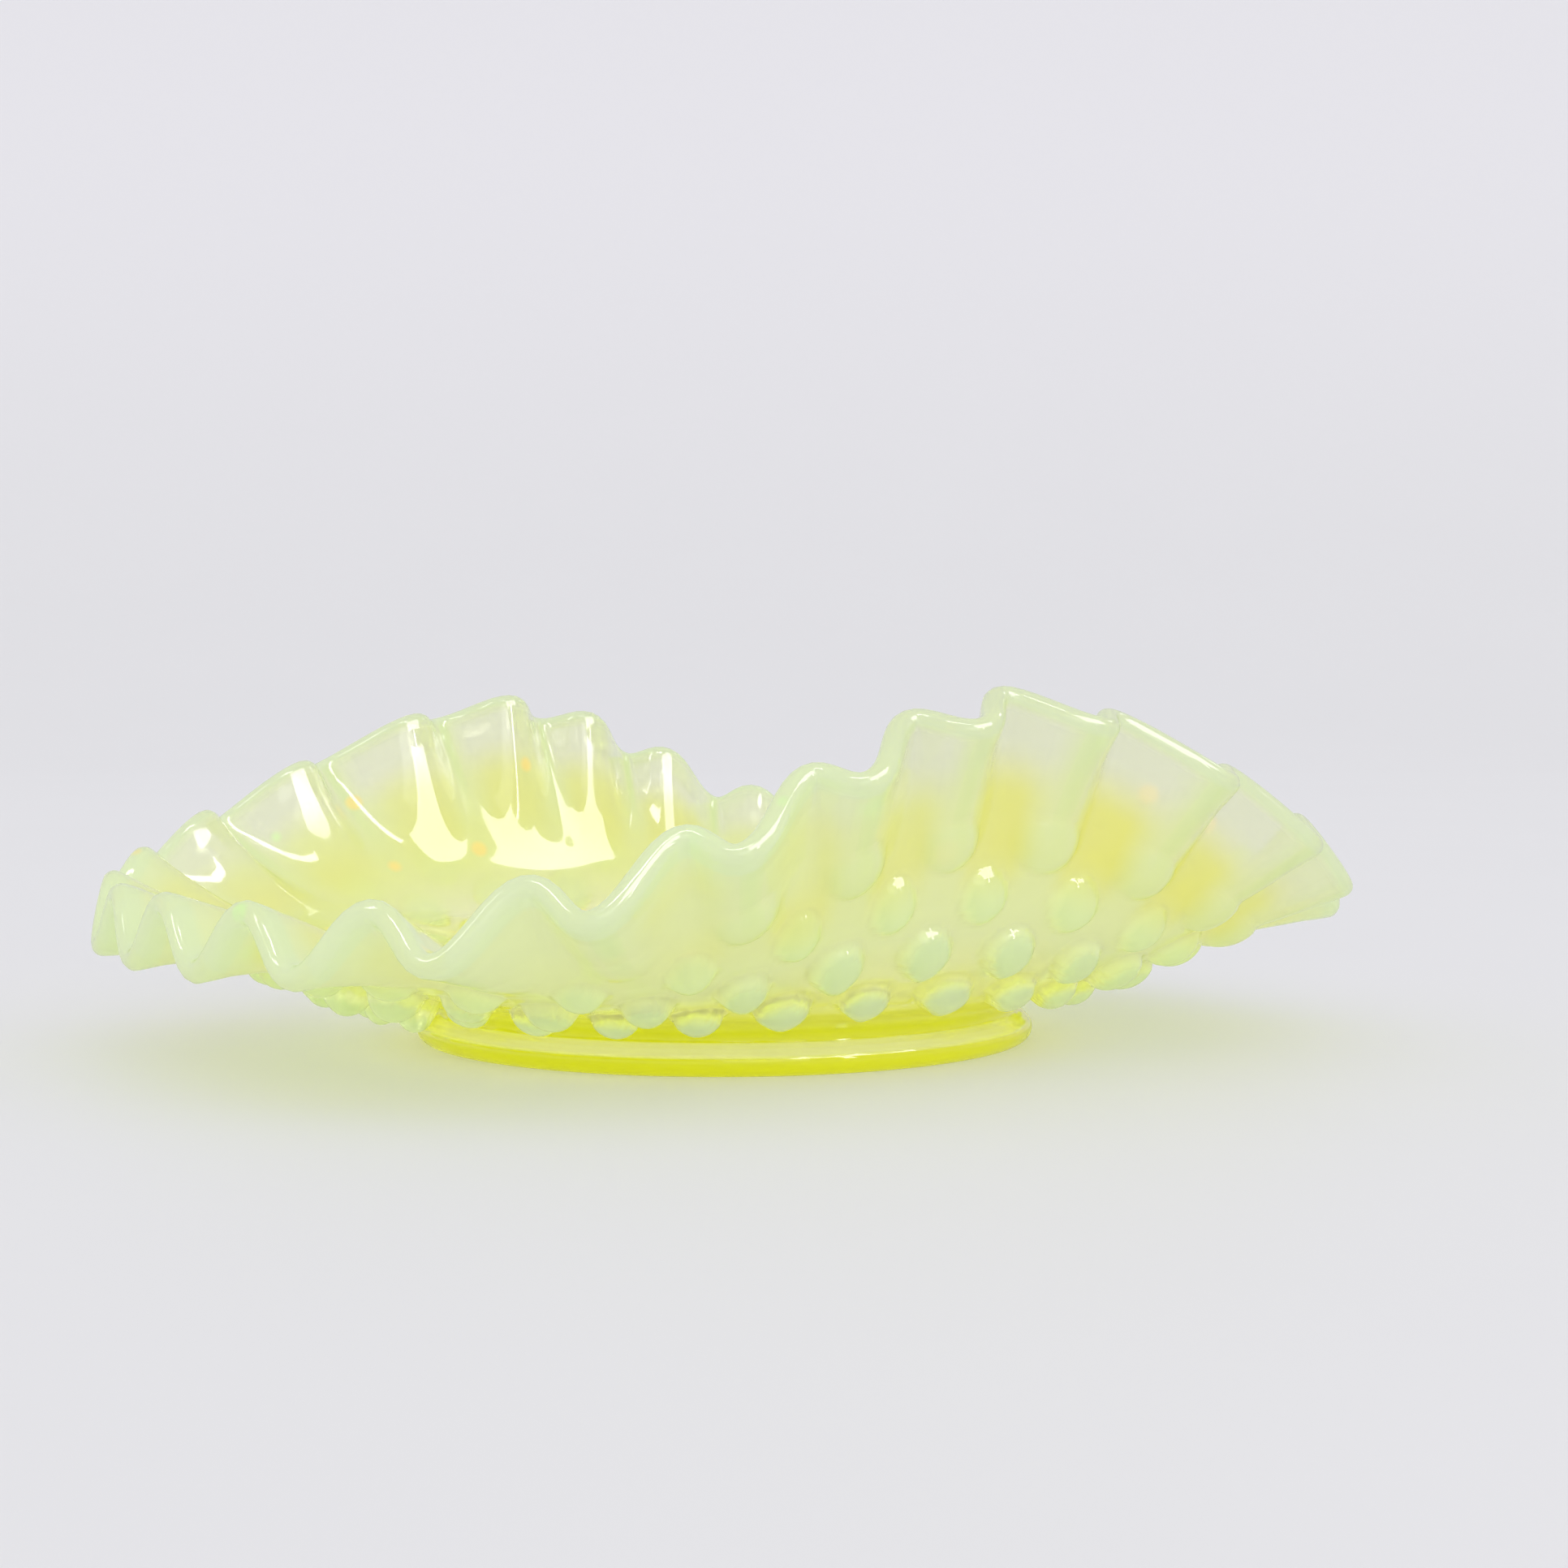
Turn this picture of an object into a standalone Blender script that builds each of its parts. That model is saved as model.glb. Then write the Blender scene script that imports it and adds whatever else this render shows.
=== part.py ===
"""Hobnail glass dish with a crimped, folded rim on a low ring foot.

Units in the constants are millimetres and degrees; everything is written to
the scene in metres.  +Z is up, the dish stands on z = 0 and its long axis
lies along X.  But for a slight tilt of the rim and the knobs, it repeats itself
every half turn about Z.
"""
import math

import bpy
from mathutils import Vector

MM = 0.001
GAP = 0.3                    # clearance between neighbouring zones
RIM_GAP = 0.55               # a little more where the folded bands meet

# ---- foot ring -----------------------------------------------------------
FOOT_R = 49.0                # widest radius, at the rolled lower edge
FOOT_NECK_R = 46.6           # radius of the waist under the bowl
FOOT_IN_R = 44.0             # inner radius of the ring
FOOT_H = 6.9                 # ring height
FOOT_FLAT_IN = 44.6          # flat resting band, inner and outer radius
FOOT_FLAT_OUT = 47.3

# ---- floor disc ----------------------------------------------------------
FLOOR_R = FOOT_IN_R - GAP
FLOOR_Z0 = 6.1               # underside, roof of the recess in the foot
FLOOR_Z1 = 11.5              # inside floor of the bowl
FLOOR_EDGE = 0.8

# ---- wall ----------------------------------------------------------------
WALL_IN_R = 44.0             # middle surface starts here ...
WALL_IN_Z = 9.4              # ... at this height
WALL_T = 4.4                 # glass thickness next to the floor
WALL_T_UP = 3.0              # glass thickness high in the wall
START_SLOPE = 8.5            # slope where the wall leaves the floor
START_SLOPE_2 = -0.5
HANDLE = 0.38                # length of the profile handles, of the chord

# ---- folded rim: two high lobes, two low lobes ---------------------------
RIM_R, RIM_R2, RIM_R2_AT = 88.9, -11.4, 32.3
RIM_R4C, RIM_R4S = -4.5, 1.25
RIM_Z, RIM_Z2, RIM_Z4 = 32.6, 15.2, 4.0
RIM_TILT = 1.1               # one high lobe stands a little above the other
LOBE_AT = 34.2               # direction of the high lobe, from -Y towards +X
END_SLOPE, END_SLOPE_2 = 35.1, 31.7

# ---- crimps --------------------------------------------------------------
CRIMPS = 28
CRIMP_AT = -3.5              # direction of one inward fold
CRIMP_DEPTH, CRIMP_DEPTH_2 = 4.25, -0.15
CRIMP_FROM = 0.52            # folds fade in from here (share of the wall)
CRIMP_GROW = 1.25
CRIMP_ROUND = 0.02           # flattens the tips of the folds
BEAD_T = 3.5                 # rolled edge thickness
RIM_CUT = 0.87               # share of the wall where the rim band starts

# ---- hobnails ------------------------------------------------------------
ROW_ARCS = (11.4, 19.3, 28.0, 36.5, 43.6)
KNOB_W = (4.4, 4.1, 4.0, 4.2, 4.0)       # half width
KNOB_L = (3.9, 4.6, 4.7, 4.5, 4.0)       # half length along the wall
KNOB_H = (3.2, 3.1, 2.5, 1.6, 0.6)       # height over the wall
KNOB_POINT = (0.85, 0.45, 0.20, 0.0, 0.0)  # lower ends drawn to a point

COLUMNS = CRIMPS * 4


def radial(theta, r, z):
    """Point at direction theta (0 = -Y, growing towards +X), in mm."""
    return Vector((r * math.sin(theta), -r * math.cos(theta), z))


def spread(u):
    """Even angle u to the slightly uneven spacing of hand crimping."""
    return u + math.radians(-0.62 * math.cos(2 * u) - 0.48 * math.cos(4 * u)
                            - 1.34 * math.sin(4 * u) + 0.30 * math.cos(6 * u)
                            + 0.15 * math.sin(6 * u))


def lobe(theta):
    return theta - math.radians(LOBE_AT)


def rim_line(theta):
    a = lobe(theta)
    r = (RIM_R + RIM_R2 * math.cos(2 * (theta - math.radians(RIM_R2_AT)))
         + RIM_R4C * math.cos(4 * a) + RIM_R4S * math.sin(4 * a))
    z = (RIM_Z + RIM_Z2 * math.cos(2 * a) + RIM_Z4 * math.cos(4 * a)
         + RIM_TILT * math.cos(a))
    return r, z


def wall_mid(u, s):
    """Middle surface of the glass: u around the dish, s = 0 floor, 1 rim."""
    theta = spread(u)
    c2 = math.cos(2 * lobe(theta))
    r3, z3 = rim_line(theta)
    a0 = math.radians(START_SLOPE + START_SLOPE_2 * c2)
    a1 = math.radians(END_SLOPE + END_SLOPE_2 * c2)
    k = HANDLE * math.hypot(r3 - WALL_IN_R, z3 - WALL_IN_Z)
    r0, z0 = WALL_IN_R, WALL_IN_Z
    r1, z1 = r0 + k * math.cos(a0), z0 + k * math.sin(a0)
    r2, z2 = r3 - k * math.cos(a1), z3 - k * math.sin(a1)
    t, v = s, 1 - s
    b0, b1, b2, b3 = v * v * v, 3 * t * v * v, 3 * t * t * v, t * t * t
    r = b0 * r0 + b1 * r1 + b2 * r2 + b3 * r3
    z = b0 * z0 + b1 * z1 + b2 * z2 + b3 * z3
    dr = 3 * v * v * (r1 - r0) + 6 * t * v * (r2 - r1) + 3 * t * t * (r3 - r2)
    dz = 3 * v * v * (z1 - z0) + 6 * t * v * (z2 - z1) + 3 * t * t * (z3 - z2)
    g = math.hypot(dr, dz)
    grow = max(0.0, (s - CRIMP_FROM) / (1 - CRIMP_FROM)) ** CRIMP_GROW
    ph = CRIMPS * (u - math.radians(CRIMP_AT))
    depth = (CRIMP_DEPTH + CRIMP_DEPTH_2 * c2) * grow
    q = -depth * (math.cos(ph) - CRIMP_ROUND * math.cos(3 * ph))
    return radial(theta, r + q * dz / g, z - q * dr / g)


def wall_out(u, s, e=1e-4):
    """Unit vector from the middle surface to the outside of the dish."""
    du = wall_mid(u + e, s) - wall_mid(u - e, s)
    ds = wall_mid(u, s + e) - wall_mid(u, s - e)
    return du.cross(ds).normalized()


def smooth(x):
    x = min(1.0, max(0.0, x))
    return x * x * (3 - 2 * x)


def thickness(s):
    t = WALL_T + (WALL_T_UP - WALL_T) * smooth(s / 0.7)
    return t + (BEAD_T - t) * smooth((s - 0.91) / 0.08)


class Column:
    """Arc length along the wall at one direction u."""

    def __init__(self, u, n=80):
        self.u = u
        self.s = [i / n for i in range(n + 1)]
        self.arc = [0.0]
        last = wall_mid(u, 0.0)
        for s in self.s[1:]:
            p = wall_mid(u, s)
            self.arc.append(self.arc[-1] + (p - last).length)
            last = p

    def share(self, arc):
        for i in range(1, len(self.s)):
            if self.arc[i] >= arc:
                f = (arc - self.arc[i - 1]) / (self.arc[i] - self.arc[i - 1])
                return self.s[i - 1] + f * (self.s[i] - self.s[i - 1])
        return 1.0

    def length(self, s):
        i = min(len(self.s) - 2, int(s * (len(self.s) - 1)))
        f = s * (len(self.s) - 1) - i
        return self.arc[i] + f * (self.arc[i + 1] - self.arc[i])


def knob(u, arc, r):
    """Height of the hobnails over the smooth outer surface."""
    best = 0.0
    for j, row in enumerate(ROW_ARCS):
        ph = u - math.radians(CRIMP_AT) - (j % 2) * math.pi / CRIMPS
        step = 2 * math.pi / CRIMPS
        ph = (ph + step / 2) % step - step / 2
        along = (arc - row) / KNOB_L[j]
        wide = KNOB_W[j] * (1 - KNOB_POINT[j] * min(1.0, max(0.0, -along)))
        d2 = (ph * r / wide) ** 2 + along ** 2
        if d2 < 1.0:
            best = max(best, KNOB_H[j] * (1.0 - d2) ** 0.8)
    return best


# ---- scene helpers -------------------------------------------------------
def clear_scene():
    for ob in list(bpy.data.objects):
        bpy.data.objects.remove(ob, do_unlink=True)
    for coll in list(bpy.data.collections):
        bpy.data.collections.remove(coll)


def glass(name, colour, rough, alpha):
    mat = bpy.data.materials.new(name)
    mat.use_nodes = True
    bsdf = next(n for n in mat.node_tree.nodes if n.type == "BSDF_PRINCIPLED")
    bsdf.inputs["Base Color"].default_value = (*colour, 1.0)
    bsdf.inputs["Roughness"].default_value = rough
    bsdf.inputs["Metallic"].default_value = 0.0
    bsdf.inputs["IOR"].default_value = 1.52
    bsdf.inputs["Alpha"].default_value = alpha
    mat.diffuse_color = (*colour, alpha)
    return mat


def ring_of_sections(name, sections, mat, parent, coll):
    """Closed body from equal closed sections placed around the Z axis."""
    n, m = len(sections), len(sections[0])
    verts = [p * MM for sec in sections for p in sec]
    faces = []
    for i in range(n):
        a, b = i * m, ((i + 1) % n) * m
        for j in range(m):
            k = (j + 1) % m
            faces.append((a + j, b + j, b + k, a + k))
    return add_mesh(name, verts, faces, mat, parent, coll)


def add_mesh(name, verts, faces, mat, parent, coll):
    mesh = bpy.data.meshes.new(name)
    mesh.from_pydata([tuple(v) for v in verts], [], faces)
    mesh.validate()
    for poly in mesh.polygons:
        poly.use_smooth = True
    mesh.materials.append(mat)
    ob = bpy.data.objects.new(name, mesh)
    coll.objects.link(ob)
    ob.parent = parent
    return ob


def screw(ob, steps, merge=0.00005):
    mod = ob.modifiers.new("turn", "SCREW")
    mod.axis = "Z"
    mod.angle = 2 * math.pi
    mod.steps = steps
    mod.render_steps = steps
    mod.use_merge_vertices = True
    mod.merge_threshold = merge
    mod.use_normal_calculate = True
    return mod


def turned(name, profile, steps, closed, mat, parent, coll):
    """Body of revolution from a profile of (radius, height) pairs in mm."""
    edges = [(i, i + 1) for i in range(len(profile) - 1)]
    if closed:
        edges.append((len(profile) - 1, 0))
    mesh = bpy.data.meshes.new(name)
    mesh.from_pydata([(r * MM, 0.0, z * MM) for r, z in profile], edges, [])
    mesh.materials.append(mat)
    ob = bpy.data.objects.new(name, mesh)
    coll.objects.link(ob)
    ob.parent = parent
    screw(ob, steps)
    return ob


# ---- the four zones ------------------------------------------------------
def foot_ring(mat, parent, coll):
    """Clear ring foot: rolled lower edge, waist, flat resting band."""
    roll_r, roll_z = FOOT_R - 2.2, 2.2
    prof = [(FOOT_NECK_R, FOOT_H), (FOOT_NECK_R, FOOT_H - 1.4)]
    prof.append((FOOT_NECK_R + 0.5, FOOT_H - 2.3))
    for i in range(6):                       # rolled edge, top to bottom
        a = math.radians(58 - i * 27.0)
        prof.append((roll_r + 2.2 * math.cos(a), roll_z + 2.2 * math.sin(a)))
    prof.append((FOOT_FLAT_OUT, 0.0))
    prof.append((FOOT_FLAT_IN, 0.0))
    prof.append((FOOT_IN_R + 0.1, 0.6))
    prof.append((FOOT_IN_R, 2.0))
    prof.append((FOOT_IN_R, FOOT_H))
    return turned("foot_ring", prof, 96, True, mat, parent, coll)


def floor_disc(mat, parent, coll):
    """Round floor of the dish, slightly hollowed on the inside."""
    prof = [(0.0, FLOOR_Z1 - 0.7), (16.0, FLOOR_Z1 - 0.6),
            (32.0, FLOOR_Z1 - 0.25), (FLOOR_R, FLOOR_Z1),
            (FLOOR_R, FLOOR_Z0 + FLOOR_EDGE),
            (FLOOR_R - FLOOR_EDGE, FLOOR_Z0), (0.0, FLOOR_Z0)]
    return turned("floor_disc", prof, 64, False, mat, parent, coll)


def hobnail_wall(mat, parent, coll):
    """Wall with five staggered rows of knobs on its outside."""
    sections = []
    arcs = [0.0, 3.4, 6.6]
    step = [(ROW_ARCS[i + 1] - ROW_ARCS[i]) / 4 for i in range(4)]
    arcs += [ROW_ARCS[0] - 2.1]
    for row, d in zip(ROW_ARCS, step):
        arcs += [row + d * i for i in range(4)]
    arcs += [ROW_ARCS[-1], ROW_ARCS[-1] + 2.0]
    for i in range(COLUMNS):
        u = math.radians(CRIMP_AT) + 2 * math.pi * i / COLUMNS
        col = Column(u)
        sec = []
        for k, arc in enumerate(arcs):
            # where the wall is short, stay below the rim band
            s = min(col.share(arc), RIM_CUT - 0.02 * (len(arcs) - k))
            mid, out = wall_mid(u, s), wall_out(u, s)
            r = math.hypot(mid.x, mid.y)
            sec.append(mid + out * (thickness(s) / 2 + knob(u, arc, r)))
        s = RIM_CUT
        mid, out = wall_mid(u, s), wall_out(u, s)
        sec.append(mid + out * thickness(s) / 2)
        for s in (RIM_CUT, 0.74, 0.60, 0.44, 0.24, 0.0):
            mid, out = wall_mid(u, s), wall_out(u, s)
            sec.append(mid - out * thickness(s) / 2)
        sections.append(sec)
    # the lowest section points stand upright beside the floor disc
    for i, sec in enumerate(sections):
        u = math.radians(CRIMP_AT) + 2 * math.pi * i / COLUMNS
        theta = spread(u)
        sec[0] = radial(theta, WALL_IN_R, FOOT_H + GAP)
        sec[-1] = radial(theta, WALL_IN_R, FLOOR_Z1)
        # keep the underside level until it is clear of the foot
        edge = sec[1]
        if math.hypot(edge.x, edge.y) < FOOT_NECK_R + 1.5:
            sec[1] = radial(theta, FOOT_NECK_R + 0.9, FOOT_H + GAP + 0.15)
    return ring_of_sections("hobnail_wall", sections, mat, parent, coll)


def crimped_rim(mat, parent, coll):
    """Fluted upper band with a rolled, fire-polished edge."""
    sections = []
    for i in range(COLUMNS):
        u = math.radians(CRIMP_AT) + 2 * math.pi * i / COLUMNS
        col = Column(u)
        low = col.share(col.length(RIM_CUT) + RIM_GAP)
        levels = [low, 0.92, 0.965, 1.0]
        sec = []
        for s in levels:
            mid, out = wall_mid(u, s), wall_out(u, s)
            sec.append(mid + out * thickness(s) / 2)
        mid, out = wall_mid(u, 1.0), wall_out(u, 1.0)
        up = (wall_mid(u, 1.0) - wall_mid(u, 0.999)).normalized()
        for a in (45, 90, 135):
            a = math.radians(a)
            sec.append(mid + (out * math.cos(a) + up * math.sin(a))
                       * thickness(1.0) / 2)
        for s in reversed(levels):
            mid, out = wall_mid(u, s), wall_out(u, s)
            sec.append(mid - out * thickness(s) / 2)
        sections.append(sec)
    return ring_of_sections("crimped_rim", sections, mat, parent, coll)


def main():
    clear_scene()
    parts = bpy.data.collections.new("glass_dish")
    bpy.context.scene.collection.children.link(parts)
    root = bpy.data.objects.new("dish_centre", None)
    root.empty_display_size = 0.02
    parts.objects.link(root)

    foot_ring(glass("canary_glass", (0.64, 0.72, 0.02), 0.05, 0.70),
              root, parts)
    floor_disc(glass("pale_canary_glass", (0.72, 0.78, 0.22), 0.05, 0.55),
               root, parts)
    hobnail_wall(glass("opal_canary_glass", (0.72, 0.80, 0.34), 0.08, 0.72),
                 root, parts)
    crimped_rim(glass("milky_edge_glass", (0.70, 0.86, 0.42), 0.06, 0.66),
                root, parts)


main()
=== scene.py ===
"""Hobnail glass dish with a crimped, folded rim: the visual model.

The glass is one continuous closed mesh, swept as a closed section around the
dish: recess and ring foot, hobnail wall, rolled rim, inside wall and floor.
Lengths in the constants are millimetres.
"""
import math

import bpy
import numpy as np
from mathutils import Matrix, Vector


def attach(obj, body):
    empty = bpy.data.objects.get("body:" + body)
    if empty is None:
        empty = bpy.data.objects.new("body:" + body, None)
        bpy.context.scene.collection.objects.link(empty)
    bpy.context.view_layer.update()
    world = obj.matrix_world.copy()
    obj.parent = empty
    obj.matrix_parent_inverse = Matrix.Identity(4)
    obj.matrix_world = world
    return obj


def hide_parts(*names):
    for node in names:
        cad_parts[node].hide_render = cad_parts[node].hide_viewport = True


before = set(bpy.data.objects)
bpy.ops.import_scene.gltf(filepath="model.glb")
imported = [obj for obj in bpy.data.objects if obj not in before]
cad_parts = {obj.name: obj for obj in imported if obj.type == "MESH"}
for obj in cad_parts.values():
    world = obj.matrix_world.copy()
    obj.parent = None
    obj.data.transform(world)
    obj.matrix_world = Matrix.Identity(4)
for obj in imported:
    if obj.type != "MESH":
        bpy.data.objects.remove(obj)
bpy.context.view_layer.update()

MM = 0.001

# ---- the dish, as in the CAD frame ---------------------------------------
FOOT_R, FOOT_NECK_R, FOOT_IN_R, FOOT_H = 49.0, 46.6, 44.0, 6.9
FOOT_FLAT_IN, FOOT_FLAT_OUT = 44.6, 47.3
FLOOR_Z0, FLOOR_Z1 = 6.1, 11.5
WALL_IN_R, WALL_IN_Z = 44.0, 9.4
WALL_T, WALL_T_UP, BEAD_T = 4.4, 3.0, 3.4
START_SLOPE, START_SLOPE_2, HANDLE = 8.5, -0.5, 0.38
RIM_R, RIM_R2, RIM_R2_AT, RIM_R4C, RIM_R4S = 88.9, -11.4, 32.3, -4.5, 1.25
RIM_Z, RIM_Z2, RIM_Z4, LOBE_AT = 32.6, 15.2, 4.0, 34.2
RIM_TILT = 1.1               # one high lobe stands a little above the other
END_SLOPE, END_SLOPE_2 = 35.1, 31.7
CRIMPS, CRIMP_AT = 28, -3.5
CRIMP_DEPTH, CRIMP_DEPTH_2 = 4.25, -0.15
CRIMP_FROM, CRIMP_GROW, CRIMP_ROUND = 0.52, 1.25, 0.02
ROW_ARCS = (11.4, 19.3, 28.0, 36.5, 43.6)
KNOB_W, KNOB_L = (4.4, 4.1, 4.0, 4.2, 4.0), (3.9, 4.6, 4.7, 4.5, 4.0)
KNOB_H = (3.2, 3.1, 2.5, 1.6, 0.35)
KNOB_POINT = (0.85, 0.45, 0.20, 0.0, 0.0)   # lower ends drawn to a point

COLS = CRIMPS * 16


def rad(a):
    return math.radians(a)


def spread(u):
    return u + np.radians(-0.62 * np.cos(2 * u) - 0.48 * np.cos(4 * u)
                          - 1.34 * np.sin(4 * u) + 0.30 * np.cos(6 * u)
                          + 0.15 * np.sin(6 * u))


def radial(theta, r, z):
    r = np.broadcast_to(r, theta.shape)
    z = np.broadcast_to(z, theta.shape)
    return np.stack([r * np.sin(theta), -r * np.cos(theta), z], -1)


def wall_mid(u, s):
    """Middle surface of the glass: u around, s = 0 at the floor, 1 at rim."""
    theta = spread(u)
    a = theta - rad(LOBE_AT)
    c2 = np.cos(2 * a)
    r3 = (RIM_R + RIM_R2 * np.cos(2 * (theta - rad(RIM_R2_AT)))
          + RIM_R4C * np.cos(4 * a) + RIM_R4S * np.sin(4 * a))
    z3 = (RIM_Z + RIM_Z2 * c2 + RIM_Z4 * np.cos(4 * a)
          + RIM_TILT * np.cos(a))
    a0 = np.radians(START_SLOPE + START_SLOPE_2 * c2)
    a1 = np.radians(END_SLOPE + END_SLOPE_2 * c2)
    k = HANDLE * np.hypot(r3 - WALL_IN_R, z3 - WALL_IN_Z)
    r0, z0 = WALL_IN_R, WALL_IN_Z
    r1, z1 = r0 + k * np.cos(a0), z0 + k * np.sin(a0)
    r2, z2 = r3 - k * np.cos(a1), z3 - k * np.sin(a1)
    t, v = s, 1 - s
    b0, b1, b2, b3 = v ** 3, 3 * t * v * v, 3 * t * t * v, t ** 3
    r = b0 * r0 + b1 * r1 + b2 * r2 + b3 * r3
    z = b0 * z0 + b1 * z1 + b2 * z2 + b3 * z3
    dr = 3 * v * v * (r1 - r0) + 6 * t * v * (r2 - r1) + 3 * t * t * (r3 - r2)
    dz = 3 * v * v * (z1 - z0) + 6 * t * v * (z2 - z1) + 3 * t * t * (z3 - z2)
    g = np.hypot(dr, dz)
    grow = np.clip((s - CRIMP_FROM) / (1 - CRIMP_FROM), 0, 2) ** CRIMP_GROW
    ph = CRIMPS * (u - rad(CRIMP_AT))
    depth = (CRIMP_DEPTH + CRIMP_DEPTH_2 * c2) * grow
    q = -depth * (np.cos(ph) - CRIMP_ROUND * np.cos(3 * ph))
    return radial(theta, r + q * dz / g, z - q * dr / g)


def unit(v):
    return v / np.linalg.norm(v, axis=-1, keepdims=True)


def wall_out(u, s, e=1e-4):
    du = wall_mid(u + e, s) - wall_mid(u - e, s)
    ds = wall_mid(u, s + e) - wall_mid(u, s - e)
    return unit(np.cross(du, ds))


def smooth(x):
    x = np.clip(x, 0, 1)
    return x * x * (3 - 2 * x)


def thickness(s):
    t = WALL_T + (WALL_T_UP - WALL_T) * smooth(s / 0.7)
    return t + (BEAD_T - t) * smooth((s - 0.92) / 0.07)


def share_at(u, arc):
    """Share s of the wall at arc length arc, for each column."""
    grid = np.linspace(0, 1, 241)
    uu, ss = np.meshgrid(u, grid, indexing="ij")
    p = wall_mid(uu, ss)
    step = np.linalg.norm(np.diff(p, axis=1), axis=-1)
    length = np.concatenate([np.zeros((len(u), 1)), np.cumsum(step, 1)], 1)
    return (np.array([[np.interp(a, length[i], grid) for a in arc]
                      for i in range(len(u))]), length[:, -1])


def knobs(u, arc, r):
    """Height of the hobnails (mm) and their 0..1 dome share."""
    high, dome = np.zeros_like(r), np.zeros_like(r)
    step = 2 * math.pi / CRIMPS
    for j, row in enumerate(ROW_ARCS):
        k = np.round((u - rad(CRIMP_AT) - (j % 2) * step / 2) / step)
        ph = u - rad(CRIMP_AT) - (j % 2) * step / 2 - k * step
        # every knob is a little different, as hand finishing leaves it
        wob = np.sin(k * 12.9898 + j * 78.233) * 43758.5453
        wob = wob - np.floor(wob)
        size = 0.94 + 0.12 * wob
        off = 0.5 * (wob - 0.5)
        along = (arc - row - off) / (KNOB_L[j] * size)
        wide = KNOB_W[j] * size * (1 - KNOB_POINT[j] * np.clip(-along, 0, 1))
        d2 = (ph * r / wide) ** 2 + along ** 2
        f = np.clip(1 - d2, 0, 1)
        # dome that meets the ground in a short soft fillet
        h = (f ** 0.62 * smooth(f * 5) if j < 2
             else f ** 0.8 * smooth(f * 3))
        # the reheated front flowed smooth, so its upper knobs are low
        deg = (np.degrees(spread(u)) + 180) % 360 - 180
        flow = smooth((deg + 75) / 25) * smooth((6 - deg) / 16) * (j >= 3)
        side = smooth((-42 - deg) / 10) * smooth((deg + 115) / 10)
        high = np.maximum(high, KNOB_H[j] * size * h * (1 - 0.85 * flow)
                          * (1 + 0.7 * side))
        dome = np.maximum(dome, smooth(f * 1.9) * (1 - 0.8 * flow)
                          * (1.0, 1.0, 0.9, 0.45, 0.08)[j])
    return high, dome


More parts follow.
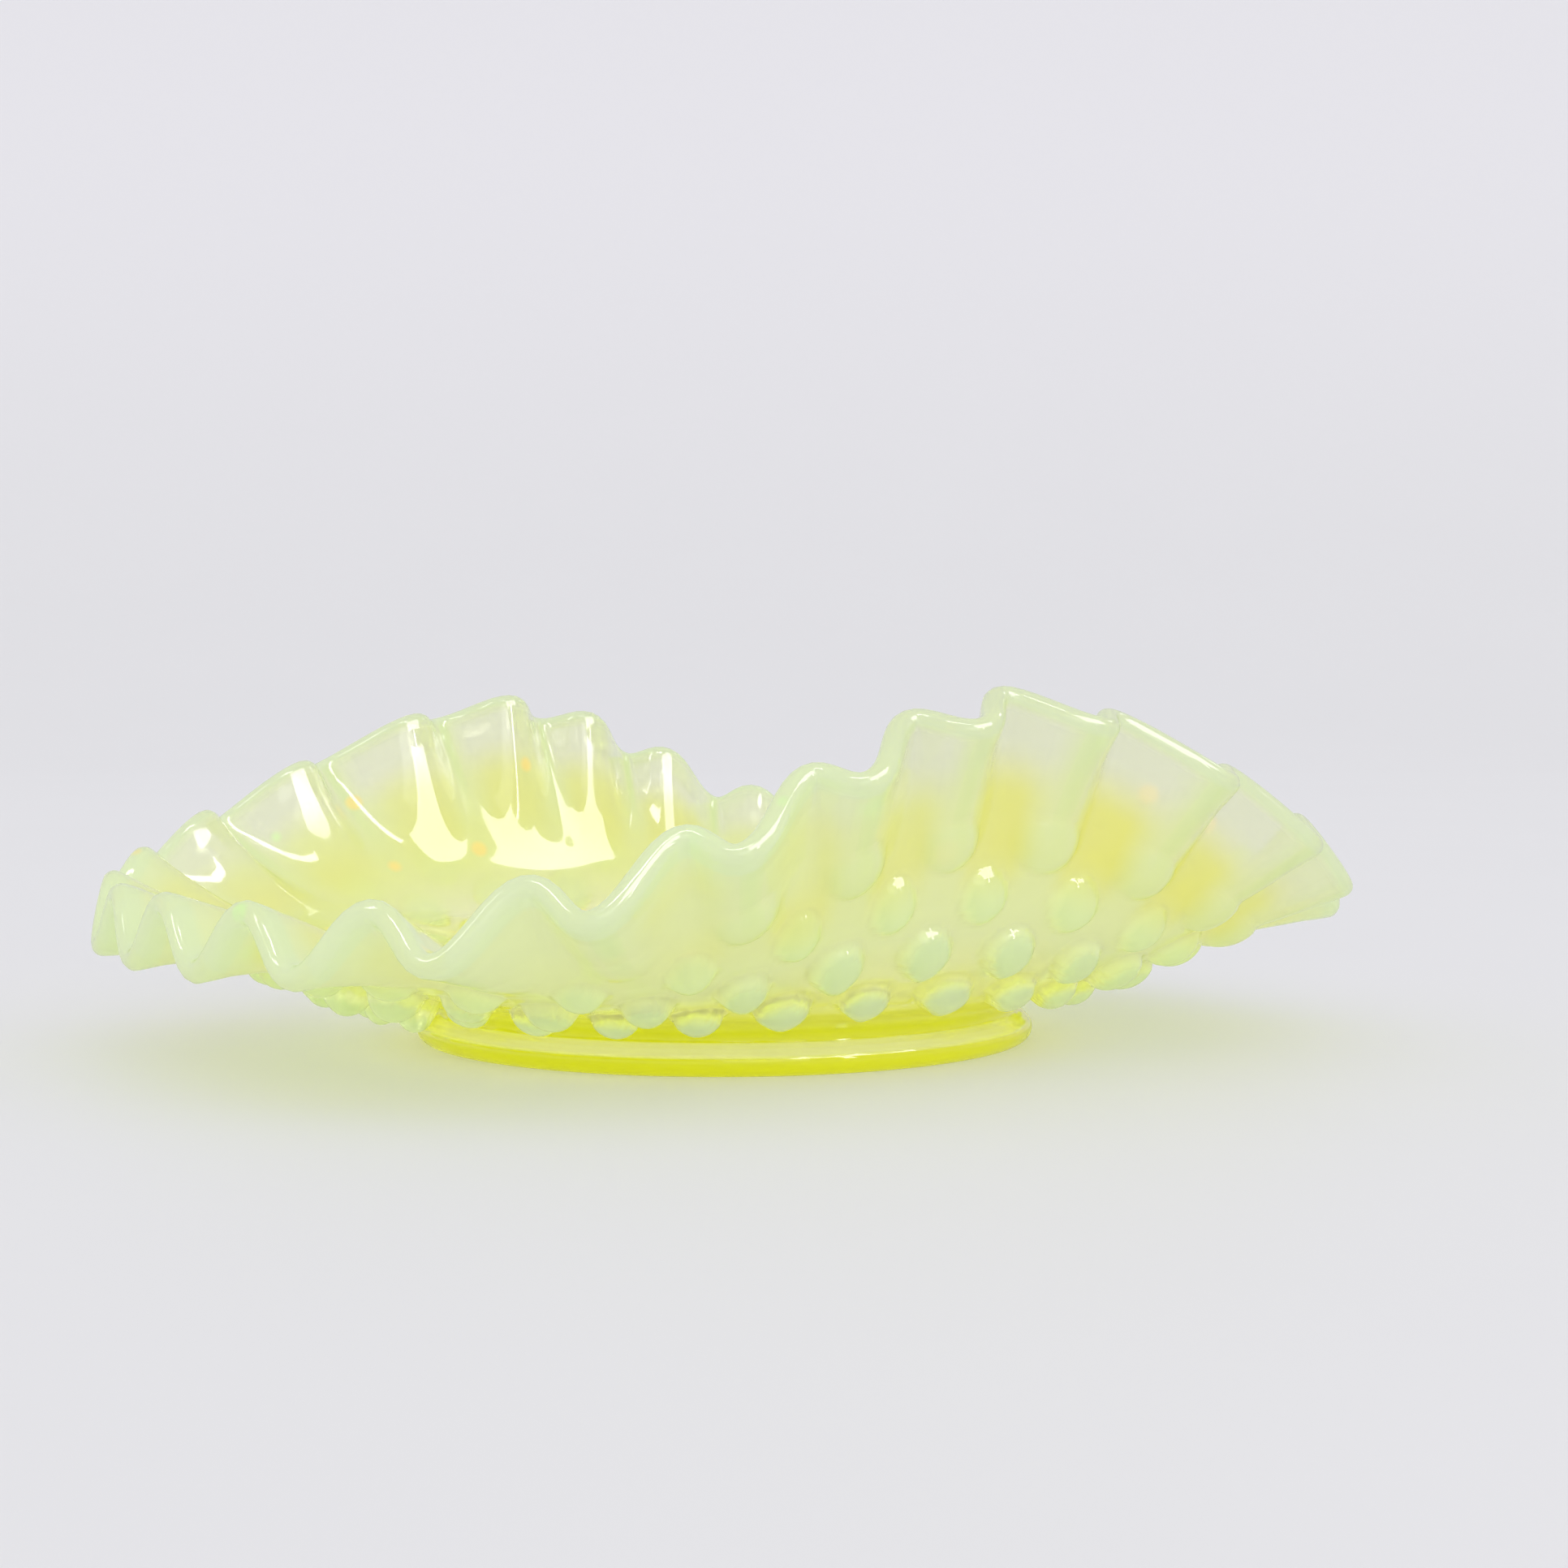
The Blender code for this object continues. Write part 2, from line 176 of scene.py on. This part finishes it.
def build_glass(name):
    u = rad(CRIMP_AT) + 2 * math.pi * np.arange(COLS) / COLS
    theta = spread(u)
    rows, tags = [], []            # tags: share, dome, inside, foot, deep

    def add(p, share, dome, inside, foot, deep_yellow_and_glow=0.0):
        one = np.ones(COLS)
        rows.append(p)
        tags.append(np.stack([share * one, dome * one, inside * one,
                              foot * one, deep_yellow_and_glow * one], -1))

    def turned(points, inside, foot):
        for (r, z), f in zip(points, foot):
            # painted piped light: the rolled edge, the cove and the foot's left and right flanks are painted
            # deep yellow and given a painted glow, for the light the foot pipes
            deep_yellow_and_glow = 0.0
            if f == 1.0 and r > 45.0:
                deep_yellow_and_glow = np.maximum(max(1 - smooth((z - 2.7) / 0.6),
                                      smooth((z - 4.4) / 0.5)),
                                  smooth((abs(np.sin(theta)) - 0.86) / 0.12))
            add(radial(theta, r, z), 0.0, 0.0, inside, f, deep_yellow_and_glow)

    # underside of the floor, recess and foot
    pts, ft = [], []
    for r in np.linspace(3.0, 42.0, 14):
        pts.append((r, FLOOR_Z0 - 0.25 * math.cos(math.pi * r / 84)))
        ft.append(0.25 + 0.35 * (r / 42) ** 4)
    c = (FOOT_IN_R - 1.4, FLOOR_Z0 - 1.4)
    for a in (80, 60, 40, 20, 0):
        pts.append((c[0] + 1.4 * math.cos(rad(a)), c[1] + 1.4 * math.sin(rad(a))))
        ft.append(1.0)
    for z in (3.9, 3.1, 2.3, 1.5):
        pts.append((FOOT_IN_R, z)); ft.append(1.0)
    c = (FOOT_FLAT_IN + 0.3, 0.9)
    for a in (180, 205, 230, 252, 270):
        pts.append((c[0] + 0.9 * math.cos(rad(a)), 0.9 + 0.9 * math.sin(rad(a))))
        ft.append(1.0)
    for r in (45.5, 46.2, 46.8):
        pts.append((r, 0.0)); ft.append(1.0)
    c = (FOOT_R - 2.0, 2.0)
    for a in range(-90, 61, 10):
        pts.append((c[0] + 2.0 * math.cos(rad(a)), c[1] + 2.0 * math.sin(rad(a))))
        ft.append(1.0)
    # waist: from the roll up to the neck
    x0, z0 = pts[-1]
    for f in (0.2, 0.4, 0.6, 0.8, 1.0):
        w = smooth(f)
        pts.append((x0 + (FOOT_NECK_R - x0) * w, z0 + (4.9 - z0) * f))
        ft.append(1.0)
    pts.append((FOOT_NECK_R, 5.5)); ft.append(1.0)
    pts.append((FOOT_NECK_R, 6.1)); ft.append(1.0)
    turned(pts, 0.0, ft)

    # outer wall with knobs
    arc_out = np.concatenate([np.arange(6.0, 47.5, 0.62)])
    s_out, total = share_at(u, arc_out)
    first = None
    wall_rows = []
    for i, a in enumerate(arc_out):
        s = s_out[:, i]
        mid, out = wall_mid(u, s), wall_out(u, s)
        r = np.hypot(mid[:, 0], mid[:, 1])
        h, dome = knobs(u, a, r)
        p = mid + out * (thickness(s) / 2 + h)[:, None]
        wall_rows.append((p, s, dome))
    # fillet from the neck to the wall
    p_a = rows[-1]
    p_c = wall_rows[0][0]
    tan = unit(wall_rows[1][0] - wall_rows[0][0])
    corner = p_a.copy()
    corner[:, 2] = 7.35
    for f in (0.2, 0.4, 0.6, 0.8):
        p = ((1 - f) ** 2 * p_a + 2 * f * (1 - f)
             * (0.65 * corner + 0.35 * (p_c - tan * 1.6)) + f * f * p_c)
        # the last value paints the fillet deep yellow with a painted glow
        add(p, 0.05 * f, 0.0, 0.0, 1.0 - f * 0.5, 1.0 - 0.25 * f)
    for k, (p, s, dome) in enumerate(wall_rows):
        # the lowest knob rows are painted deep yellow with a painted glow, fading up the wall
        add(p, s, dome, 0.0, max(0.0, 0.5 - k * 0.05),
            (1 - dome) * max(0.0, 0.78 - k * 0.030))

    # from the knob rows to the rolled edge, by share of what is left
    s_last = s_out[:, -1]
    for f in np.linspace(0, 1, 15)[1:]:
        s = s_last + (1 - s_last) * f
        mid, out = wall_mid(u, s), wall_out(u, s)
        r = np.hypot(mid[:, 0], mid[:, 1])
        h, dome = knobs(u, arc_out[-1] + (total - arc_out[-1]) * f, r)
        add(mid + out * (thickness(s) / 2 + h)[:, None], s, dome, 0.0, 0.0)
    one = np.ones(COLS)
    mid, out = wall_mid(u, one), wall_out(u, one)
    up = unit(wall_mid(u, one) - wall_mid(u, one * 0.999))
    for a in range(15, 180, 15):
        a = rad(a)
        add(mid + (out * math.cos(a) + up * math.sin(a)) * BEAD_T / 2,
            1.0 + 0.05 * math.sin(a), 0.0, a / math.pi, 0.0)
    # inside of the wall
    for s in np.concatenate([np.linspace(1, 0.86, 13),
                             np.linspace(0.86, 0.05, 40)[1:]]):
        ss = one * s
        mid, out = wall_mid(u, ss), wall_out(u, ss)
        add(mid - out * thickness(ss)[:, None] / 2, s, 0.0, 1.0, 0.0)
    p_a = rows[-1]
    for i, r in enumerate(np.linspace(43.0, 3.0, 15)):
        z = FLOOR_Z1 - 0.7 + 0.7 * (r / 43.7) ** 2
        p = radial(theta, r, z)
        if i == 0:                 # ease the floor into the wall
            p = 0.5 * p + 0.5 * (p_a + (p_a - rows[-2]) * 1.0)
            p[:, 2] = 0.5 * (p_a[:, 2] + z)
        add(p, 0.0, 0.0, 1.0, 0.15)

    grid = np.stack(rows)                       # rows x cols x 3
    tag = np.stack(tags)
    n = len(rows)
    verts = np.concatenate([grid.reshape(-1, 3),
                            [[0, 0, FLOOR_Z0 - 0.25], [0, 0, FLOOR_Z1 - 0.7]]])
    tag = np.concatenate([tag.reshape(-1, 5), [[0, 0, 0, 0.25, 0], [0, 0, 1, 0.15, 0]]])
    faces = []
    i = np.arange(COLS)
    j = (i + 1) % COLS
    for k in range(n - 1):
        a, b = k * COLS, (k + 1) * COLS
        faces.append(np.stack([a + i, a + j, b + j, b + i], -1))
    faces = np.concatenate(faces).tolist()
    low, top = n * COLS, n * COLS + 1
    faces += [(low, int(y), int(x)) for x, y in zip(i, j)]
    last = (n - 1) * COLS
    faces += [(top, int(last + x), int(last + y)) for x, y in zip(i, j)]
    mesh = bpy.data.meshes.new(name)
    mesh.from_pydata((verts * MM).tolist(), [], faces)
    mesh.update()
    for k, key in enumerate(("share", "dome", "inside", "foot", "deep_yellow_and_glow")):
        att = mesh.attributes.new(key, "FLOAT", "POINT")
        att.data.foreach_set("value", tag[:, k].astype(np.float32))
    # phase of the folds: +1 on an outward fold, -1 on an inward one
    fold = -np.cos(CRIMPS * (u - rad(CRIMP_AT)))
    fold = np.concatenate([np.tile(fold, n), [0, 0]])
    att = mesh.attributes.new("fold", "FLOAT", "POINT")
    att.data.foreach_set("value", fold.astype(np.float32))
    # clear windows under the rim, between the outward folds, on the two
    # high lobes and along the back
    deg = np.degrees(theta)
    deg = (deg + 180) % 360 - 180
    zone = np.maximum(smooth((deg - 2) / 22) * smooth((100 - deg) / 25),
                      smooth((-88 - deg) / 20))
    zone = np.maximum(zone, 0.8 * smooth((deg - 120) / 20))
    zone = np.concatenate([np.tile(zone, n), [0, 0]])
    sh = tag[:, 0]
    # the milky edge is narrow over the windows and broad elsewhere
    low_edge = 0.955 + 0.032 * zone
    bead = smooth((sh - low_edge) / 0.02)
    att = mesh.attributes.new("bead", "FLOAT", "POINT")
    att.data.foreach_set("value", bead.astype(np.float32))
    win = (smooth((sh - 0.78) / 0.15) * smooth((1.0 - sh) / 0.02) * zone
           * smooth((0.98 - fold) / 0.45))
    att = mesh.attributes.new("window", "FLOAT", "POINT")
    att.data.foreach_set("value", win.astype(np.float32))
    mesh.polygons.foreach_set("use_smooth", np.ones(len(mesh.polygons), bool))
    ob = bpy.data.objects.new(name, mesh)
    bpy.context.scene.collection.objects.link(ob)
    return ob


# ---- materials -----------------------------------------------------------
class Nodes:
    def __init__(self, name):
        self.mat = bpy.data.materials.new(name)
        self.mat.use_nodes = True
        self.t = self.mat.node_tree
        self.t.nodes.clear()
        self.x = 0

    def new(self, kind, **props):
        n = self.t.nodes.new(kind)
        self.x += 160
        n.location = (self.x, 0)
        for k, v in props.items():
            setattr(n, k, v)
        return n

    def put(self, socket, value):
        if isinstance(value, bpy.types.NodeSocket):
            self.t.links.new(value, socket)
        else:
            socket.default_value = value

    def math(self, op, a, b=None, c=None, clamp=False):
        n = self.new("ShaderNodeMath", operation=op, use_clamp=clamp)
        for k, v in enumerate((a, b, c)):
            if v is not None:
                self.put(n.inputs[k], v)
        return n.outputs[0]

    def ramp(self, value, lo, hi, to_lo=0.0, to_hi=1.0):
        n = self.new("ShaderNodeMapRange", interpolation_type="SMOOTHSTEP")
        for k, v in zip(("Value", "From Min", "From Max", "To Min", "To Max"),
                        (value, lo, hi, to_lo, to_hi)):
            self.put(n.inputs[k], v)
        return n.outputs["Result"]

    def attr(self, name):
        return self.new("ShaderNodeAttribute", attribute_name=name).outputs["Fac"]

    def mix(self, fac, a, b):
        n = self.new("ShaderNodeMix", data_type="RGBA")
        self.put(n.inputs["Factor"], fac)
        self.put(n.inputs[6], a)
        self.put(n.inputs[7], b)
        return n.outputs[2]

    def noise(self, scale, detail=2.0, vec=None, rough=0.5):
        n = self.new("ShaderNodeTexNoise")
        n.inputs["Scale"].default_value = scale
        n.inputs["Detail"].default_value = detail
        n.inputs["Roughness"].default_value = rough
        if vec is None:
            vec = self.new("ShaderNodeTexCoord").outputs["Object"]
        self.t.links.new(vec, n.inputs["Vector"])
        return n.outputs["Fac"]


def lin(r, g, b):
    def f(c):
        c /= 255
        return c / 12.92 if c <= 0.04045 else ((c + 0.055) / 1.055) ** 2.4
    return (f(r), f(g), f(b), 1.0)


def glass_material():
    m = Nodes("opal_canary_glass")
    share, dome, deep_yellow_and_glow = m.attr("share"), m.attr("dome"), m.attr("deep_yellow_and_glow")
    fold, foot, win = m.attr("fold"), m.attr("foot"), m.attr("window")
    cloud = m.noise(42.0, 3.0)
    # where the glass turned milky: knobs, folds, the rolled edge
    bead = m.attr("bead")
    ridge = m.math("MULTIPLY", m.ramp(fold, 0.86, 1.0), m.ramp(share, 0.6, 0.85))
    body = m.ramp(share, 0.12, 0.55, 0.05, 0.88)
    body = m.math("ADD", body, m.math("MULTIPLY", m.math("SUBTRACT", cloud, 0.5), 0.45))
    milk = m.math("MAXIMUM", body, m.math("MULTIPLY", dome, 0.9))
    milk = m.math("MULTIPLY", milk, m.math("SUBTRACT", 1.0, m.math("MULTIPLY", win, 0.60)))
    milk = m.math("MAXIMUM", milk, m.math("MULTIPLY", bead, 0.85))
    milk = m.math("MAXIMUM", milk, m.math("MULTIPLY", ridge, 0.60))
    milk = m.math("MULTIPLY", milk, m.math("SUBTRACT", 1.0, m.math("MULTIPLY", foot, 0.95)), clamp=True)
    # painted piped light: the deep mask makes the foot bands milky and solid
    milk = m.math("MAXIMUM", milk, deep_yellow_and_glow)
    milk = m.math("MAXIMUM", milk, m.math("MULTIPLY", foot, 0.4))
    # warm patches under the windows, where the glass is thick and clear
    warm = m.math("MULTIPLY", m.ramp(share, 0.50, 0.68), m.ramp(share, 0.96, 0.86))
    warm = m.math("MULTIPLY", warm, m.ramp(m.noise(26.0, 1.0), 0.36, 0.64))
    warm = m.math("MULTIPLY", warm, m.ramp(fold, 1.0, -0.3, 0.15, 1.0))
    warm = m.math("MULTIPLY", warm, m.math("SUBTRACT", 1.0, m.math("MULTIPLY", m.attr("inside"), 0.65)))
    clear_col = (1.0, 1.0, 0.95, 1.0)
    milk_col = m.mix(dome, (0.96, 1.0, 0.77, 1.0), (0.86, 1.0, 0.78, 1.0))
    milk_col = m.mix(m.math("MULTIPLY", ridge, 0.7), milk_col, (0.88, 1.0, 0.66, 1.0))
    milk_col = m.mix(bead, milk_col, (0.92, 1.0, 0.82, 1.0))
    low_in = m.math("MULTIPLY", m.attr("inside"), m.ramp(share, 0.90, 0.55))
    milk_col = m.mix(low_in, milk_col, (0.985, 1.0, 0.50, 1.0))
    milk_col = m.mix(m.math("MULTIPLY", warm, 0.9), milk_col, (1.0, 0.955, 0.25, 1.0))
    milk_col = m.mix(m.math("MULTIPLY", win, 0.9), milk_col, (0.95, 0.96, 0.95, 1.0))
    # painted piped light: the deep mask paints the foot bands saturated yellow
    milk_col = m.mix(deep_yellow_and_glow, milk_col, (0.88, 0.905, 0.008, 1.0))
    colour = m.mix(milk, clear_col, milk_col)
    bsdf = m.new("ShaderNodeBsdfPrincipled")
    m.put(bsdf.inputs["Base Color"], colour)
    m.put(bsdf.inputs["Transmission Weight"], m.math("SUBTRACT", 1.0, m.math("MULTIPLY", milk, 0.8), clamp=True))
    m.put(bsdf.inputs["Roughness"], m.math("SUBTRACT", 0.09, m.math("MULTIPLY", foot, 0.06)))
    bsdf.inputs["IOR"].default_value = 1.5
    bsdf.inputs["Coat Weight"].default_value = 1.0
    bsdf.inputs["Coat Roughness"].default_value = 0.0
    bsdf.inputs["Coat IOR"].default_value = 1.5
    # tiny warm and green flecks in the opal strike, inside; further down they are also given a painted glow
    cell = m.new("ShaderNodeTexVoronoi")
    cell.inputs["Scale"].default_value = 95.0
    m.t.links.new(m.new("ShaderNodeTexCoord").outputs["Object"], cell.inputs["Vector"])
    pick = m.new("ShaderNodeSeparateColor")
    m.t.links.new(cell.outputs["Color"], pick.inputs["Color"])
    fleck_and_glow = m.math("MULTIPLY", m.ramp(cell.outputs["Distance"], 0.19, 0.08), m.ramp(pick.outputs[0], 0.42, 0.46))
    fleck_and_glow = m.math("MULTIPLY", fleck_and_glow, m.attr("inside"))
    fleck_and_glow_col = m.mix(m.ramp(pick.outputs[1], 0.72, 0.74), (1.0, 0.66, 0.24, 1.0), (0.55, 1.0, 0.38, 1.0))
    colour = m.mix(m.math("MULTIPLY", fleck_and_glow, 0.9), colour, fleck_and_glow_col)
    milk = m.math("MAXIMUM", milk, m.math("MULTIPLY", fleck_and_glow, 0.7))
    m.put(bsdf.inputs["Base Color"], colour)
    # painted light: a faint emission, standing in for the uranium glass's own glow, lifts the milky glass where
    # it lies in shade
    painted_glow = m.mix(milk, (0.0, 0.0, 0.0, 1.0), (0.045, 0.055, 0.02, 1.0))
    # painted highlight: a ring of emission round the edges of the lower knobs draws them with bright outlines
    edge = m.math("MULTIPLY", m.math("MULTIPLY", dome, m.math("SUBTRACT", 1.0, dome)), 3.2)
    edge = m.math("MULTIPLY", edge, m.ramp(share, 0.68, 0.52))
    painted_glow = m.mix(edge, painted_glow, (0.15, 0.17, 0.075, 1.0))
    # painted light: the foot is given a warm glow of its own
    painted_glow = m.mix(m.math("MULTIPLY", foot, 0.8), painted_glow, (0.10, 0.088, 0.02, 1.0))
    # painted piped light: the deep foot bands glow yellow
    painted_glow = m.mix(deep_yellow_and_glow, painted_glow, (0.19, 0.18, 0.0, 1.0))
    # painted glow: the flecks shine in their own colour
    painted_glow = m.mix(m.math("MULTIPLY", fleck_and_glow, 0.28), painted_glow, fleck_and_glow_col)
    m.put(bsdf.inputs["Emission Color"], painted_glow)
    bsdf.inputs["Emission Strength"].default_value = 1.0
    trans = m.new("ShaderNodeBsdfTranslucent")
    m.put(trans.inputs["Color"], milk_col)
    mixs = m.new("ShaderNodeMixShader")
    m.put(mixs.inputs[0], m.math("MULTIPLY", milk, 0.45))
    m.t.links.new(bsdf.outputs[0], mixs.inputs[1])
    m.t.links.new(trans.outputs[0], mixs.inputs[2])
    vol = m.new("ShaderNodeVolumeAbsorption")
    vol.inputs["Color"].default_value = (0.975, 0.99, 0.0, 1.0)
    vol.inputs["Density"].default_value = 50.0
    out = m.new("ShaderNodeOutputMaterial")
    m.t.links.new(mixs.outputs[0], out.inputs["Surface"])
    m.t.links.new(vol.outputs[0], out.inputs["Volume"])
    return m.mat


def floor_material():
    m = Nodes("studio_sweep")
    n = m.noise(9.0, 2.0)
    col = m.mix(n, (0.615, 0.617, 0.615, 1.0), (0.63, 0.632, 0.63, 1.0))
    xyz = m.new("ShaderNodeSeparateXYZ")
    m.t.links.new(m.new("ShaderNodeTexCoord").outputs["Object"], xyz.inputs[0])
    col = m.mix(m.ramp(xyz.outputs[2], 0.02, 0.55), col, (0.68, 0.675, 0.69, 1.0))
    bsdf = m.new("ShaderNodeBsdfPrincipled")
    m.put(bsdf.inputs["Base Color"], col)
    # a back-lit table: light comes up through it too
    bsdf.inputs["Emission Color"].default_value = (0.97, 0.97, 1.0, 1.0)
    bsdf.inputs["Emission Strength"].default_value = 0.20
    bsdf.inputs["Roughness"].default_value = 0.55
    bsdf.inputs["Specular IOR Level"].default_value = 0.2
    out = m.new("ShaderNodeOutputMaterial")
    m.t.links.new(bsdf.outputs[0], out.inputs["Surface"])
    return m.mat


# ---- the model -----------------------------------------------------------
dish = build_glass("dish_glass")
dish.data.materials.append(glass_material())
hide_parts("foot_ring", "floor_disc", "hobnail_wall", "crimped_rim")
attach(dish, "root")


# ---- stage ---------------------------------------------------------------
def build_sweep():
    prof = [(-1.6, 0.0), (1.1, 0.0)]
    for k in range(1, 25):
        a = rad(k * 90 / 24)
        prof.append((1.1 + 0.9 * math.sin(a), 0.9 - 0.9 * math.cos(a)))
    prof.append((2.0, 3.0))
    verts = [(x, y, z) for y, z in prof for x in (-4.0, 4.0)]
    faces = [(2 * i, 2 * i + 1, 2 * i + 3, 2 * i + 2) for i in range(len(prof) - 1)]
    mesh = bpy.data.meshes.new("sweep")
    mesh.from_pydata(verts, [], faces)
    mesh.polygons.foreach_set("use_smooth", [True] * len(mesh.polygons))
    mesh.materials.append(floor_material())
    ob = bpy.data.objects.new("sweep", mesh)
    bpy.context.scene.collection.objects.link(ob)
    return ob


build_sweep()


def area_light(name, az, el, dist, size, size_y, radiance, diffuse=True):
    """A softbox in the direction az (from the front, to the right), el."""
    data = bpy.data.lights.new(name, "AREA")
    data.shape = "RECTANGLE"
    data.size, data.size_y = size, size_y
    data.energy = radiance * math.pi * size * size_y
    ob = bpy.data.objects.new(name, data)
    a, e = rad(az), rad(el)
    d = Vector((math.sin(a) * math.cos(e), -math.cos(a) * math.cos(e), math.sin(e)))
    ob.location = Vector((0, 0, 0.03)) + d * dist
    ob.rotation_euler = d.to_track_quat("Z", "Y").to_euler()
    # small bright boxes only draw highlights, the tent lights the room
    ob.visible_diffuse = diffuse
    bpy.context.scene.collection.objects.link(ob)
    return ob


area_light("right_box", 52, 41, 0.9, 0.78, 0.42, 6.4, False)
area_light("front_stem", 46, 21, 0.9, 0.07, 0.20, 11.0, False)
area_light("front_top", -5, 62, 0.9, 0.40, 0.09, 11.0, False)
area_light("left_strip", -60, 42, 0.9, 0.09, 0.34, 7.0, False)
area_light("back_box", 128, 33, 0.9, 0.08, 0.12, 4.0, False)
area_light("front_fill", 15, 22, 1.1, 0.60, 0.45, 1.0)

world = bpy.data.worlds.new("studio")
bpy.context.scene.world = world
world.use_nodes = True
bg = world.node_tree.nodes["Background"]
bg.inputs["Color"].default_value = (0.965, 0.957, 1.0, 1.0)
bg.inputs["Strength"].default_value = 0.93

# ---- camera --------------------------------------------------------------
CAM_D, CAM_H, PITCH, YAW, FOCAL = 447.6, 58.05, 0.0398, 0.0211, 3453.8
cam_data = bpy.data.cameras.new("photo_camera")
cam_data.sensor_fit = "HORIZONTAL"
cam_data.sensor_width = 36.0
cam_data.lens = FOCAL / 1932 * 36.0
cam_data.clip_start = 0.02
cam_data.clip_end = 20.0
cam = bpy.data.objects.new("photo_camera", cam_data)
cam.location = (0.0, -CAM_D * MM, CAM_H * MM)
cam.rotation_euler = (math.pi / 2 - PITCH, 0.0, -YAW)
bpy.context.scene.collection.objects.link(cam)
bpy.context.scene.camera = cam

scene = bpy.context.scene
scene.view_settings.view_transform = "Standard"
scene.view_settings.look = "None"
scene.cycles.max_bounces = 24
scene.cycles.transmission_bounces = 20
scene.cycles.transparent_max_bounces = 8
scene.cycles.glossy_bounces = 6
scene.cycles.diffuse_bounces = 6
scene.cycles.blur_glossy = 0.6
